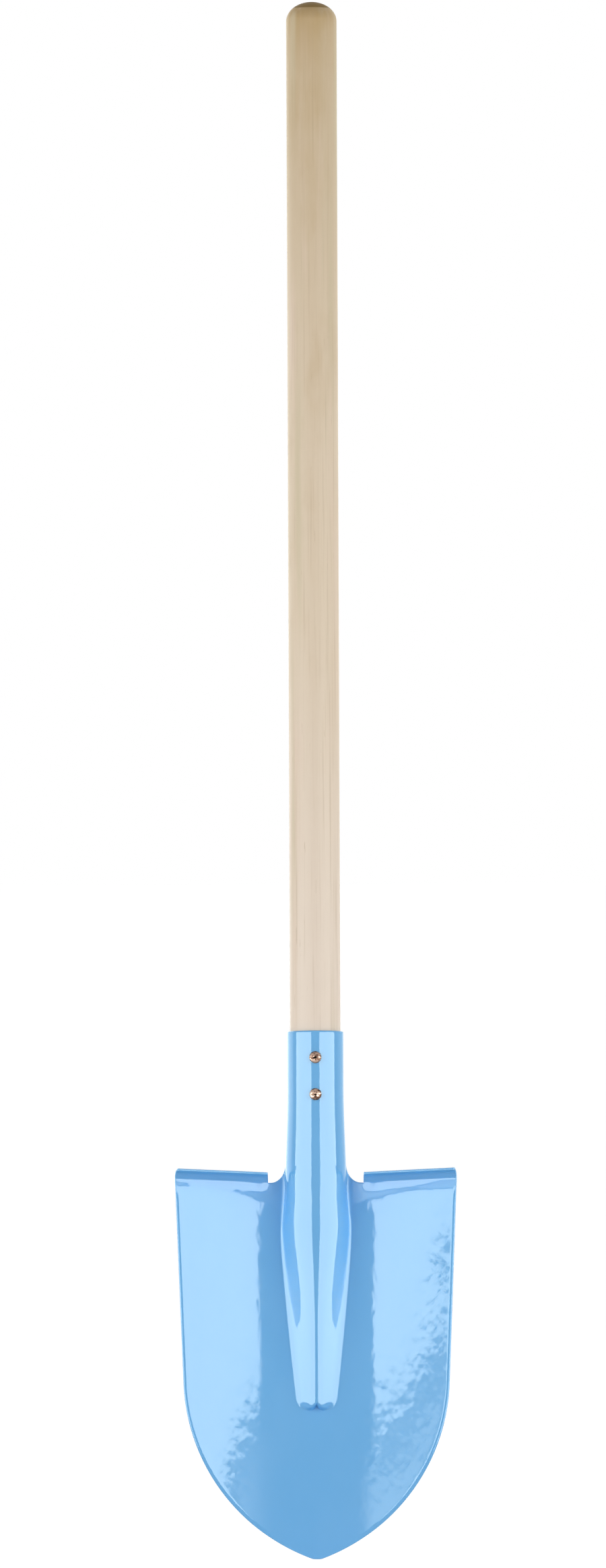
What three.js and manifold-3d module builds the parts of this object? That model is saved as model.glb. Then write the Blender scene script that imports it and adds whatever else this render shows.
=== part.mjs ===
// A children's spade: a one-piece steel pressing, a turned wooden handle and two wood screws.
// Millimetres. +Z runs up the handle and -Y is the digging face. The origin is level with the tip of the
// blade, under the middle of the object's box.
import * as THREE from "three";
import { mergeVertices } from "three/addons/utils/BufferGeometryUtils.js";
import Module from "manifold-3d";

const wasm = await Module();
wasm.setup();

// Whole object
const OVERALL_LENGTH = 800; // tip of the blade to the top of the handle
const AXIS_OFFSET = 4; // the handle's axis behind the origin, which evens out the blade's lean

// Handle
const HANDLE_DIAMETER = 26;
const HANDLE_DOME = 10; // height of the rounded top end
const HANDLE_END_TAPER = 14; // length of the cone at the end inside the socket
const HANDLE_END_DIAMETER = 19; // at the foot of that cone
const HANDLE_SEATED_LENGTH = 70.5; // how much of the handle the socket hides, mouth to handle end

// Sheet and socket
const SHEET = 1.2; // thickness of the steel
const HANDLE_CLEARANCE = 0.3; // all round, between wood and socket
const SOCKET_LENGTH = 78.8; // shoulder to mouth
const SOCKET_FLARE = 1.2; // how much wider the socket's radius is at the shoulder
const SOCKET_STRAIGHT = 30; // plain stretch below the mouth, before the flare
const MOUTH_CROWN = 1.2; // the mouth's front edge stands this much above its sides
const SEAM_GAP = 1.6; // between the rolled edges at the back
const SEAM_LENGTH = 38; // closed part of the seam, below the mouth

// Blade
const SHOULDER_HEIGHT = 191.5; // tip to the top edge of the blade, where the treads begin
const BLADE_WIDTH = 144; // at the shoulder
const BLADE_TAPER = 4; // how much each side draws in before the point begins
const POINT_HEIGHT = 90; // tip to where the sides begin to round in
const TIP_RADIUS = 9;
const SETBACK = 2; // the blade's middle behind the handle's axis, at the shoulder
const LIFT_ANGLE = THREE.MathUtils.degToRad(3.5); // how the blade leans forward of the handle
const LENGTHWISE_RADIUS = 1400; // bend of the blade from shoulder to tip
const DISH_RADIUS_TOP = 190; // bend across the blade at the shoulder
const DISH_RADIUS_LOW = 185; // bend across the blade further down
const DISH_RUN = 60; // length over which one becomes the other
const ROLL_ANGLE = THREE.MathUtils.degToRad(4.2); // how the blade rolls back just below the treads
const ROLL_RUN_INNER = 15; // height of that roll by the socket
const ROLL_RUN_OUTER = 4; // and at the sides
const ROLL_LIMIT = 4; // the roll goes no further than this above the shoulder
const RIM_WIDTH = 1.6; // strip along the edge that turns back
const RIM_DROP = 0.5;
const RIM_FADE = 20; // the rim dies out over this height above the tip
const RIM_TOP_FADE = 8; // and over this length below the treads

// Ridge, in which the socket runs out down the middle of the blade
const RIDGE_BULGE = 1.6; // its foot is this much wider than the socket's radius at its widest
const RIDGE_BULGE_DEPTH = 24; // that widest place, below the shoulder
const RIDGE_LENGTH = 112.5; // shoulder to where the rounded nose begins
const RIDGE_END_HALF_WIDTH = 9.2;
const RIDGE_SOFTNESS = 0.15; // how gently its taper sets in
const RIDGE_END_RISE = 4.4; // above the blade, where the nose begins
const RIDGE_SHARPEN_LENGTH = 75; // the round crest has become a keel this far down
const RIDGE_SHARPEN_POWER = 1.5; // above 1, the crest sharpens early
const KEEL_REACH = 0.2; // share of the half-width at which the keel's two tangents meet
const KEEL_WEIGHT = 1.7; // fullness of the keel's section, as the weight of a conic
const NOSE_LENGTH = 4; // run-out of the ridge's end
const NOSE_LOBE = 5; // the end has two lobes, each this far from the middle
const NOSE_RADIUS = 3; // of a lobe, seen from the front
const FOOT_FILLET = 2; // between ridge and blade
const FOOT_FILLET_SHOULDER = 3.6; // wider where the socket leaves the blade

// Treads
const NOTCH_WIDTH = 9.2; // socket to the inner end of a tread
const NOTCH_FILLET_WIDTH = 8; // the notch's rounded corner, up the side of the socket
const NOTCH_FILLET_HEIGHT = 11;
const TREAD_BEND = 5; // inside radius of the bend
const TREAD_DEPTH = 8; // flat of the tread, in front of the bend
const TREAD_RISE = 2.7; // outer end above inner end
const TREAD_CORNER = 2.2; // outer front corner

// Screws
const SCREW_BELOW_MOUTH = 13.4;
const SCREW_SPACING = 19;
const SCREW_HEAD_DIAMETER = 6.2;
const SCREW_HEAD_HEIGHT = 2.3;
const SCREW_HEAD_EDGE = 0.5; // upright rim under the dome
const SCREW_SHANK_DIAMETER = 3;
const SCREW_LENGTH = 16; // under the head
const SCREW_POINT = 3.5;
const RECESS_LENGTH = 3.2; // cross recess in the head
const RECESS_WIDTH = 0.8;
const RECESS_DEPTH = 1.1;
const SCREW_CLEARANCE = 0.3; // round the shank
const SEAT_CLEARANCE = 0.1; // under the head

// Heights and radii that follow
const halfSheet = SHEET / 2;
const socketTop = SHOULDER_HEIGHT + SOCKET_LENGTH;
const webTop = SHOULDER_HEIGHT + NOTCH_FILLET_HEIGHT;
const seamFoot = socketTop - SEAM_LENGTH;
const flareTop = socketTop - SOCKET_STRAIGHT;
const mouthRadius = HANDLE_DIAMETER / 2 + HANDLE_CLEARANCE + halfSheet;
const shoulderRadius = mouthRadius + SOCKET_FLARE;
const treadInner = shoulderRadius + halfSheet + NOTCH_WIDTH;
const bendRadius = TREAD_BEND + halfSheet;
const noseHeight = SHOULDER_HEIGHT - RIDGE_LENGTH;
const noseFoot = noseHeight - NOSE_LENGTH;

const clamp01 = (value) => THREE.MathUtils.clamp(value, 0, 1);
const mix = THREE.MathUtils.lerp;
const ease = (value) => THREE.MathUtils.smoothstep(value, 0, 1);

// Outline of the blade: a straight taper, then one arc, then the rounded tip, each tangent to the next.
const taperTop = new THREE.Vector2(BLADE_WIDTH / 2, SHOULDER_HEIGHT);
const pointStart = new THREE.Vector2(BLADE_WIDTH / 2 - BLADE_TAPER, POINT_HEIGHT);
const taperRun = taperTop.clone().sub(pointStart).normalize();
const inward = new THREE.Vector2(-taperRun.y, taperRun.x);
const tipCentre = new THREE.Vector2(0, TIP_RADIUS);
const tipToStart = pointStart.clone().sub(tipCentre);
const sideRadius =
  (TIP_RADIUS ** 2 - tipToStart.lengthSq()) / (2 * (inward.dot(tipToStart) + TIP_RADIUS));
const sideCentre = pointStart.clone().addScaledVector(inward, sideRadius);
const tipJoin = tipCentre.clone().sub(sideCentre).setLength(sideRadius).add(sideCentre);

function halfWidth(z) {
  if (z >= POINT_HEIGHT) {
    return mix(pointStart.x, taperTop.x, (z - POINT_HEIGHT) / (SHOULDER_HEIGHT - POINT_HEIGHT));
  }
  if (z >= tipJoin.y) {
    return sideCentre.x + Math.sqrt(sideRadius ** 2 - (z - sideCentre.y) ** 2);
  }
  return Math.sqrt(Math.max(0, TIP_RADIUS ** 2 - (z - TIP_RADIUS) ** 2));
}

// How squarely a level line meets the outline: 1 at the straight sides, 0 at the very tip.
function edgeSquareness(z) {
  if (z >= POINT_HEIGHT) {
    return taperRun.y;
  }
  if (z >= tipJoin.y) {
    return (halfWidth(z) - sideCentre.x) / sideRadius;
  }
  return halfWidth(z) / TIP_RADIUS;
}

// Middle of the sheet, in front of or behind the handle's axis, where there is no ridge.
function panDepth(x, z) {
  const drop = SHOULDER_HEIGHT - z;
  const lengthwise = Math.tan(LIFT_ANGLE) * drop + drop ** 2 / (2 * LENGTHWISE_RADIUS);
  const dish = mix(1 / DISH_RADIUS_TOP, 1 / DISH_RADIUS_LOW, ease(drop / DISH_RUN));
  const run = mix(ROLL_RUN_INNER, ROLL_RUN_OUTER, x / (BLADE_WIDTH / 2));
  const rolled = THREE.MathUtils.clamp(1 - drop / run, 0, 1 + ROLL_LIMIT / run);
  const roll = ((Math.tan(ROLL_ANGLE) * run) / 2) * rolled ** 2;
  return SETBACK - lengthwise - (x ** 2 * dish) / 2 + roll;
}

function socketRadius(z) {
  const flare = ease((flareTop - z) / (flareTop - SHOULDER_HEIGHT));
  return mouthRadius + SOCKET_FLARE * flare;
}

// The ridge's half-section is one conic arc: crest, corner where the end tangents meet, foot, weight.
// In the socket it is an arc of the socket's circle; below the shoulder it sharpens into a keel.
function archSection(z) {
  const drop = Math.max(0, SHOULDER_HEIGHT - z);
  const radius = socketRadius(z);
  const opening = Math.acos(-panDepth(radius, Math.max(z, SHOULDER_HEIGHT)) / radius);
  const round = {
    crest: new THREE.Vector2(0, -radius),
    corner: new THREE.Vector2(radius * Math.tan(opening / 2), -radius),
    foot: new THREE.Vector2(radius * Math.sin(opening), -radius * Math.cos(opening)),
    weight: Math.cos(opening / 2),
  };
  if (drop === 0) {
    return round;
  }
  const widest = shoulderRadius + RIDGE_BULGE;
  const swell = mix(round.foot.x, widest, ease(drop / RIDGE_BULGE_DEPTH));
  const along = clamp01((drop - RIDGE_BULGE_DEPTH) / (RIDGE_LENGTH - RIDGE_BULGE_DEPTH));
  const ridgeHalf = mix(swell, RIDGE_END_HALF_WIDTH, softStart(along));
  const spread = Math.min(1, halfWidth(z) / halfWidth(noseFoot));
  const footX = ridgeHalf * spread;
  const endCrest = panDepth(0, noseHeight) - RIDGE_END_RISE;
  const crestY = mix(-shoulderRadius, endCrest, drop / RIDGE_LENGTH);
  const sharpen = clamp01(drop / RIDGE_SHARPEN_LENGTH);
  const reach = mix(KEEL_REACH, round.corner.x / round.foot.x, (1 - sharpen) ** RIDGE_SHARPEN_POWER);
  return {
    crest: new THREE.Vector2(0, crestY),
    corner: new THREE.Vector2(footX * reach, crestY),
    foot: new THREE.Vector2(footX, panDepth(footX, z)),
    weight: mix(round.weight, KEEL_WEIGHT, sharpen ** 2),
  };
}

// Runs from 0 to 1: level at first, then straight.
function softStart(share) {
  const bend = (value) => Math.hypot(value, RIDGE_SOFTNESS) - RIDGE_SOFTNESS;
  return bend(share) / bend(1);
}

// A point of the ridge's half-section, from crest (0) to foot (1).
function archPoint(share, z) {
  const { crest, corner, foot, weight } = archSection(z);
  const a = (1 - share) ** 2;
  const b = 2 * share * (1 - share) * weight;
  const c = share ** 2;
  const total = a + b + c;
  const x = (a * crest.x + b * corner.x + c * foot.x) / total;
  const conicY = (a * crest.y + b * corner.y + c * foot.y) / total;
  if (z >= SHOULDER_HEIGHT) {
    return new THREE.Vector3(x, conicY, z);
  }
  const drop = SHOULDER_HEIGHT - z;
  const lobe = (x - NOSE_LOBE) ** 2 / (2 * NOSE_RADIUS);
  const pastNose = clamp01((drop + lobe - RIDGE_LENGTH) / NOSE_LENGTH);
  const rise = (foot.y - conicY) * (1 - pastNose ** 2) ** 2;
  const settle = clamp01(drop / RIDGE_LENGTH) * (panDepth(x, z) - foot.y);
  return new THREE.Vector3(x, foot.y - rise + settle, z);
}

// The sheet is laid out in lanes, each a line of points from the tip up to the top edge.
const ARCH_LANES = 8;
const FILLET_LANES = 3;
const NOTCH_LANES = 3;
const PAN_LANES = 6;
const RIM_LANES = 3;
const archEnd = 0.88; // share of the conic that is left when its foot is rounded off

function filletEnd(z) {
  const drop = Math.max(0, SHOULDER_HEIGHT - z);
  const reach = mix(FOOT_FILLET_SHOULDER, FOOT_FILLET, ease(drop / RIDGE_BULGE_DEPTH));
  const spread = Math.min(1, halfWidth(z) / halfWidth(noseFoot));
  return archSection(z).foot.x + reach * spread;
}

// The rounded foot of the ridge: a parabola from the conic to the blade, round their corner.
function filletPoint(share, z) {
  const start = archPoint(archEnd, z);
  const { foot } = archSection(z);
  const endX = filletEnd(z);
  const end = new THREE.Vector3(endX, panDepth(endX, z), z);
  const corner = new THREE.Vector3(foot.x, foot.y, z);
  return new THREE.QuadraticBezierCurve3(start, corner, end).getPoint(share);
}

function rimSpan(z) {
  const width = halfWidth(z);
  const square = Math.max(edgeSquareness(z), RIM_WIDTH / TIP_RADIUS);
  return Math.min(RIM_WIDTH / square, width / 4);
}

// Share 0 is the end of the ridge's fillet, share 1 the inside of the rim.
function panPoint(share, z) {
  const x = mix(filletEnd(z), halfWidth(z) - rimSpan(z), share);
  return new THREE.Vector3(x, panDepth(x, z), z);
}

function rimPoint(share, z) {
  const x = halfWidth(z) - rimSpan(z) * (1 - share);
  const fade = ease(z / RIM_FADE) * ease((SHOULDER_HEIGHT - z) / RIM_TOP_FADE);
  return new THREE.Vector3(x, panDepth(x, z) + RIM_DROP * fade * share ** 2, z);
}

const panInner = filletEnd(SHOULDER_HEIGHT);
const panOuter = halfWidth(SHOULDER_HEIGHT) - rimSpan(SHOULDER_HEIGHT);
const notchShare = (treadInner - panInner) / (panOuter - panInner);

function lanes() {
  const list = [];
  for (let i = 0; i <= ARCH_LANES; i += 1) {
    const share = (archEnd * i) / ARCH_LANES;
    list.push((z) => archPoint(share, z));
  }
  for (let i = 1; i <= FILLET_LANES; i += 1) {
    list.push((z) => filletPoint(i / FILLET_LANES, z));
  }
  for (let i = 1; i <= NOTCH_LANES; i += 1) {
    list.push((z) => panPoint((notchShare * i) / NOTCH_LANES, z));
  }
  for (let i = 1; i <= PAN_LANES; i += 1) {
    list.push((z) => panPoint(mix(notchShare, 1, i / PAN_LANES), z));
  }
  for (let i = 1; i <= RIM_LANES; i += 1) {
    list.push((z) => rimPoint(i / RIM_LANES, z));
  }
  return list;
}

const blankLanes = lanes();
const treadLane = ARCH_LANES + FILLET_LANES + NOTCH_LANES;
const lastLane = blankLanes.length - 1;

// Top edge of the blank: up the side of the socket, round the notch, then along the tread's bend.
const webInner = archPoint(archEnd, SHOULDER_HEIGHT).x;

function topEdge(x) {
  const corner = clamp01(1 - (x - webInner) / NOTCH_FILLET_WIDTH);
  const fillet = NOTCH_FILLET_HEIGHT * (1 - Math.sqrt(1 - corner ** 2));
  const outward = Math.max(0, x - treadInner) / (BLADE_WIDTH / 2 - treadInner);
  return SHOULDER_HEIGHT + fillet + TREAD_RISE * outward;
}

const laneTops = blankLanes.map((lane, i) =>
  i <= ARCH_LANES ? webTop : topEdge(lane(SHOULDER_HEIGHT).x),
);

// Levels at which the blank is measured, closer together at the tip and at the ridge's nose.
const TIP_ROWS = 12;
const NOSE_ROWS = 8;
const RIDGE_ROWS = 11;
const TOP_ROWS = 5;
const noseMargin = 2;
const topZone = SHOULDER_HEIGHT - RIDGE_BULGE_DEPTH;

function spaced(from, to, count, power = 1) {
  return Array.from({ length: count }, (_, i) => mix(from, to, (i / count) ** power));
}

const levels = [
  ...spaced(0, noseFoot - noseMargin, TIP_ROWS, 2),
  ...spaced(noseFoot - noseMargin, noseHeight + noseMargin, NOSE_ROWS),
  ...spaced(noseHeight + noseMargin, topZone, RIDGE_ROWS),
  ...spaced(topZone, webTop, TOP_ROWS),
  webTop,
];
const lastLevel = levels.length - 1;

// Near the top, each lane's levels close up so that the last one lies on the top edge.
function blankPoint(lane, row) {
  const level = levels[row];
  const share = Math.max(0, (level - topZone) / (webTop - topZone));
  const z = share > 0 ? mix(topZone, laneTops[lane], share) : level;
  return blankLanes[lane](z);
}

// The tread: the sheet turns forward round the bend and runs out flat.
const BEND_STEPS = 4;

function treadPoint(lane, step) {
  const edge = blankPoint(lane, lastLevel);
  const turn = (Math.PI / 2) * Math.min(1, step / BEND_STEPS);
  const fromEnd = blankPoint(lastLane, lastLevel).x - edge.x;
  const corner = Math.max(0, TREAD_CORNER - fromEnd);
  const cut = TREAD_CORNER - Math.sqrt(TREAD_CORNER ** 2 - corner ** 2);
  const flat = step > BEND_STEPS ? TREAD_DEPTH - cut : 0;
  const forward = bendRadius * (1 - Math.cos(turn)) + flat;
  return new THREE.Vector3(edge.x, edge.y - forward, edge.z + bendRadius * Math.sin(turn));
}

// The socket above the shoulder: the ridge's lanes run on up, and the sheet wraps on round the back.
const SOCKET_ROWS = 11;
const WRAP_LANES = 7;
const SOCKET_ROW_POWER = 1.4;
const seamEdge = Math.PI - SEAM_GAP / 2 / mouthRadius;

// Rows lie closer together low down, where the edges sweep from the sides round to the seam.
const socketShare = (row) => (row / SOCKET_ROWS) ** SOCKET_ROW_POWER;
const mouthHeight = (angle) => socketTop - MOUTH_CROWN * (1 - Math.cos(angle));
const angleOf = (point) => Math.atan2(point.x, -point.y);

function socketPoint(lane, row) {
  const share = (archEnd * lane) / ARCH_LANES;
  const mouth = mouthHeight(angleOf(archPoint(share, webTop)));
  return archPoint(share, mix(webTop, mouth, socketShare(row)));
}

function wrapPoint(lane, row) {
  const side = socketPoint(ARCH_LANES, row);
  const sideAngle = angleOf(side);
  const edgeAngle = mix(sideAngle, seamEdge, ease((side.z - webTop) / (seamFoot - webTop)));
  const angle = mix(sideAngle, edgeAngle, lane / WRAP_LANES);
  const z = side.z + (mouthHeight(angle) - mouthHeight(sideAngle)) * socketShare(row);
  const radius = socketRadius(z);
  return new THREE.Vector3(radius * Math.sin(angle), -radius * Math.cos(angle), z);
}

// A sheet-metal piece: patches of its middle surface are joined where they meet, then thickened.
class Sheet {
  points = [];
  faces = [];
  found = new Map();

  vertex(point) {
    const key = point.toArray().map((value) => Math.round(value * 1e4) + 0).join();
    if (!this.found.has(key)) {
      this.found.set(key, this.points.length);
      this.points.push(point);
    }
    return this.found.get(key);
  }

  // Adds the patch and its mirror image. Faces look forward and outward.
  mirroredPatch(lanesAcross, rows, pointAt) {
    for (const side of [1, -1]) {
      const at = (i, j) => {
        const point = pointAt(i, j);
        return this.vertex(new THREE.Vector3(side * point.x, point.y, point.z));
      };
      for (let i = 0; i < lanesAcross; i += 1) {
        for (let j = 0; j < rows; j += 1) {
          const quad = [at(i, j), at(i + 1, j), at(i + 1, j + 1), at(i, j + 1)];
          this.quad(side > 0 ? quad : quad.reverse());
        }
      }
    }
  }

  quad([a, b, c, d]) {
    for (const face of [[a, b, c], [a, c, d]]) {
      if (new Set(face).size === 3) {
        this.faces.push(face);
      }
    }
  }

  // Each point's normal, with every face counted by its angle there.
  normals() {
    const sums = this.points.map(() => new THREE.Vector3());
    for (const face of this.faces) {
      const [a, b, c] = face.map((index) => this.points[index]);
      const normal = new THREE.Triangle(a, b, c).getNormal(new THREE.Vector3());
      face.forEach((index, k) => {
        const here = this.points[index];
        const next = this.points[face[(k + 1) % 3]].clone().sub(here);
        const last = this.points[face[(k + 2) % 3]].clone().sub(here);
        sums[index].addScaledVector(normal, next.angleTo(last));
      });
    }
    return sums.map((sum) => sum.normalize());
  }

  thicken(thickness) {
    const normals = this.normals();
    const count = this.points.length;
    const front = this.points.map((p, i) => p.clone().addScaledVector(normals[i], thickness / 2));
    const back = this.points.map((p, i) => p.clone().addScaledVector(normals[i], -thickness / 2));
    const edges = new Set(this.faces.flatMap(([a, b, c]) => [`${a},${b}`, `${b},${c}`, `${c},${a}`]));
    const triangles = [];
    for (const [a, b, c] of this.faces) {
      triangles.push(a, b, c, a + count, c + count, b + count);
    }
    for (const edge of edges) {
      const [a, b] = edge.split(",").map(Number);
      if (!edges.has(`${b},${a}`)) {
        triangles.push(b, a, a + count, b, a + count, b + count);
      }
    }
    const geometry = new THREE.BufferGeometry().setFromPoints([...front, ...back]);
    geometry.setIndex(triangles);
    return geometry;
  }
}

function solidOf(geometry) {
  const bare = geometry.clone();
  bare.deleteAttribute("normal");
  bare.deleteAttribute("uv");
  const merged = mergeVertices(bare, 1e-4);
  const vertProperties = new Float32Array(merged.attributes.position.array);
  const triVerts = new Uint32Array(merged.index.array);
  return new wasm.Manifold(new wasm.Mesh({ numProp: 3, vertProperties, triVerts }));
}

function cut(geometry, tools) {
  const solid = tools.reduce((left, tool) => left.subtract(solidOf(tool)), solidOf(geometry));
  const mesh = solid.getMesh();
  const result = new THREE.BufferGeometry();
  result.setAttribute("position", new THREE.BufferAttribute(mesh.vertProperties, 3));
  result.setIndex(new THREE.BufferAttribute(mesh.triVerts, 1));
  return result;
}

// Screws, drawn with the seat of the head at z = 0 and turned to face forward.
const screwHeights = [
  socketTop - SCREW_BELOW_MOUTH,
  socketTop - SCREW_BELOW_MOUTH - SCREW_SPACING,
];
const screwSeat = -(mouthRadius + halfSheet + SEAT_CLEARANCE);
const ROUND_SIDES = 24;
const DOME_STEPS = 7;

function screwHole(height) {
  const depth = SCREW_LENGTH + 2 * SCREW_CLEARANCE;
  const radius = SCREW_SHANK_DIAMETER / 2 + SCREW_CLEARANCE;
  const hole = new THREE.CylinderGeometry(radius, radius, depth, ROUND_SIDES);
  return hole.translate(0, screwSeat - SCREW_CLEARANCE + depth / 2, height);
}

function screwGeometry() {
  const head = SCREW_HEAD_DIAMETER / 2;
  const shank = SCREW_SHANK_DIAMETER / 2;
  const dome = new THREE.EllipseCurve(
    0, SCREW_HEAD_EDGE, head, SCREW_HEAD_HEIGHT - SCREW_HEAD_EDGE, 0, Math.PI / 2,
  );
  const profile = [
    new THREE.Vector2(0, -SCREW_LENGTH),
    new THREE.Vector2(shank, SCREW_POINT - SCREW_LENGTH),
    new THREE.Vector2(shank, 0),
    new THREE.Vector2(head, 0),
    ...dome.getPoints(DOME_STEPS).slice(0, -1),
    new THREE.Vector2(0, SCREW_HEAD_HEIGHT),
  ];
  const turned = new THREE.LatheGeometry(profile, ROUND_SIDES).rotateX(Math.PI / 2);
  const slots = [0, Math.PI / 2].map((turn) =>
    new THREE.BoxGeometry(RECESS_LENGTH, RECESS_WIDTH, 2 * RECESS_DEPTH)
      .translate(0, 0, SCREW_HEAD_HEIGHT)
      .rotateZ(turn),
  );
  return cut(turned, slots);
}

// Handle
function handleGeometry() {
  const radius = HANDLE_DIAMETER / 2;
  const foot = socketTop - HANDLE_SEATED_LENGTH;
  const domeFoot = OVERALL_LENGTH - HANDLE_DOME;
  const dome = new THREE.EllipseCurve(0, domeFoot, radius, HANDLE_DOME, 0, Math.PI / 2);
  const profile = [
    new THREE.Vector2(0, foot),
    new THREE.Vector2(HANDLE_END_DIAMETER / 2, foot),
    new THREE.Vector2(radius, foot + HANDLE_END_TAPER),
    ...dome.getPoints(DOME_STEPS).slice(0, -1),
    new THREE.Vector2(0, OVERALL_LENGTH),
  ];
  const turned = new THREE.LatheGeometry(profile, 2 * ROUND_SIDES).rotateX(Math.PI / 2);
  return cut(turned, screwHeights.map(screwHole));
}

// Blade
function bladeGeometry() {
  const sheet = new Sheet();
  sheet.mirroredPatch(lastLane, lastLevel, blankPoint);
  const treadLanes = lastLane - treadLane;
  sheet.mirroredPatch(treadLanes, BEND_STEPS + 1, (i, step) => treadPoint(treadLane + i, step));
  sheet.mirroredPatch(ARCH_LANES, SOCKET_ROWS, socketPoint);
  sheet.mirroredPatch(WRAP_LANES, SOCKET_ROWS, wrapPoint);
  return cut(sheet.thicken(SHEET), screwHeights.map(screwHole));
}

function piece(name, geometry, finish) {
  const mesh = new THREE.Mesh(geometry, new THREE.MeshStandardMaterial(finish));
  mesh.name = name;
  mesh.position.y = AXIS_OFFSET;
  return mesh;
}

const bluePaint = { color: 0x6cabde, roughness: 0.2, metalness: 0 };
const paleWood = { color: 0xd9c8af, roughness: 0.65, metalness: 0 };
const brass = { color: 0xc79a6b, roughness: 0.3, metalness: 1 };

const spade = new THREE.Group();
spade.name = "childrens_spade";
spade.add(piece("blade", bladeGeometry(), bluePaint));
spade.add(piece("handle", handleGeometry(), paleWood));
["upper_screw", "lower_screw"].forEach((name, i) => {
  const screw = piece(name, screwGeometry(), brass);
  screw.rotation.x = Math.PI / 2;
  screw.position.set(0, AXIS_OFFSET + screwSeat, screwHeights[i]);
  spade.add(screw);
});

export default spade;
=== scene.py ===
# %% [markdown]
# # A children's spade
# The real spade is four pieces: a blue pressing that is blade, treads and socket in one, a turned wooden
# handle, and two small brass screws through the socket into the wood. The frame already holds them as
# plain solids at their real size and place. This lesson gives each of them a finer mesh and a finish,
# then sets up the light and the camera.

# %% Open the frame
import math

import bmesh
import bpy
import numpy as np
from mathutils import Matrix, Vector


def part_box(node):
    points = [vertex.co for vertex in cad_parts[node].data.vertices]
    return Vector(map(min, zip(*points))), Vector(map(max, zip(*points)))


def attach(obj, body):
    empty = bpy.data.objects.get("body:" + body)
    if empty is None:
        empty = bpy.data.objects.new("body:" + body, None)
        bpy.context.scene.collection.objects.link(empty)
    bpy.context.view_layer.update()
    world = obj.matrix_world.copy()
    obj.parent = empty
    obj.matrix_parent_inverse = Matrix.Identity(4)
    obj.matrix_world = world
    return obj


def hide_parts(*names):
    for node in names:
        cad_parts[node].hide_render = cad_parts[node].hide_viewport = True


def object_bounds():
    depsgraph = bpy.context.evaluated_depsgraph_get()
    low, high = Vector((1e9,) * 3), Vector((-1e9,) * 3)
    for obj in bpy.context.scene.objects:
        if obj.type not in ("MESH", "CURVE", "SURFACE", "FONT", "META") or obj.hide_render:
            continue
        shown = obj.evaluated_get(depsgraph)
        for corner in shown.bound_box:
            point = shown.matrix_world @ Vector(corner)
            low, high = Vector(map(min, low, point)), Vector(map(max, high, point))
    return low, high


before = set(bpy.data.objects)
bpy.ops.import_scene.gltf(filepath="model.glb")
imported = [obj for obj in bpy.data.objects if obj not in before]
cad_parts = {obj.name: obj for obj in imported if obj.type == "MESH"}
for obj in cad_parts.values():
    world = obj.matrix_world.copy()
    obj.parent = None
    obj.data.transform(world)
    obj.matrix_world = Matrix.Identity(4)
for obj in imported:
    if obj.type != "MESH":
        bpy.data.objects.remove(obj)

cad_low, cad_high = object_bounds()
print("frame:", sorted(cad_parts), "height", round(cad_high.z - cad_low.z, 4))

# %% [markdown]
# ## Small helpers for node trees
# Materials and Geometry Nodes are both trees of nodes joined by links. Adding a node, setting its options
# and filling its sockets takes several lines each time, so a few helpers keep the later cells short. A
# value for a socket is either a plain value or another node's output, which is then linked.

# %% Add nodes, sums and mixes
def fill(tree, socket, value):
    if isinstance(value, bpy.types.NodeSocket):
        tree.links.new(value, socket)
    else:
        socket.default_value = value


def add_node(tree, kind, inputs=None, **options):
    made = tree.nodes.new(kind)
    for name, value in options.items():
        setattr(made, name, value)
    for name, value in (inputs or {}).items():
        fill(tree, made.inputs[name], value)
    return made


def calc(tree, operation, *values):
    """Adds a Math node and returns its result."""
    return add_node(tree, "ShaderNodeMath", dict(enumerate(values)), operation=operation).outputs[0]


def mix_colour(tree, factor, first, second, blend="MIX"):
    """Adds a Mix node for colours and returns the mixed colour."""
    made = add_node(tree, "ShaderNodeMix", {"Factor": factor}, data_type="RGBA", blend_type=blend)
    ends = [socket for socket in made.inputs if socket.type == "RGBA"]
    fill(tree, ends[0], first)
    fill(tree, ends[1], second)
    return next(socket for socket in made.outputs if socket.type == "RGBA")


def remap(tree, value, low, high):
    """Adds a Map Range node: 0 below low, 1 above high, smooth between. High may be below low."""
    made = add_node(tree, "ShaderNodeMapRange", {"Value": value, "From Min": low, "From Max": high},
                    interpolation_type="SMOOTHSTEP")
    return made.outputs["Result"]


def from_srgb(red, green, blue):
    """A colour as a paint chart gives it, 0 to 255, as the linear values that shaders use."""
    shares = [value / 255 for value in (red, green, blue)]
    return (*[((share + 0.055) / 1.055) ** 2.4 for share in shares], 1.0)


print("helpers ready")

# %% [markdown]
# ## Two effects that every finish shares
# Paint has a ripple like orange peel, wood has fibres, and a turned screw head has fine rings: all are
# small reliefs, stretched more or less along one direction. And every surface is a little blotchy. Each
# effect is a node group, built once and placed in each material with its own values. A group puts out a
# plain number, which the material turns into colour, roughness or bump.

# %% Relief and blotches
def new_group(name, inputs, output):
    """A shader group. Its inputs are numbers, apart from Stretch, the repeats per metre along X, Y, Z."""
    group = bpy.data.node_groups.new(name, "ShaderNodeTree")
    for socket in inputs:
        kind = "NodeSocketVector" if socket == "Stretch" else "NodeSocketFloat"
        group.interface.new_socket(socket, in_out="INPUT", socket_type=kind)
    group.interface.new_socket(output, in_out="OUTPUT", socket_type="NodeSocketFloat")
    given = add_node(group, "NodeGroupInput").outputs
    place = add_node(group, "ShaderNodeTexCoord").outputs["Object"]
    stretched = add_node(group, "ShaderNodeVectorMath", {0: place, 1: given["Stretch"]},
                         operation="MULTIPLY").outputs["Vector"]
    return group, given, stretched, add_node(group, "NodeGroupOutput").inputs[output]


FINE_SCALE = 4.7


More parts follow.
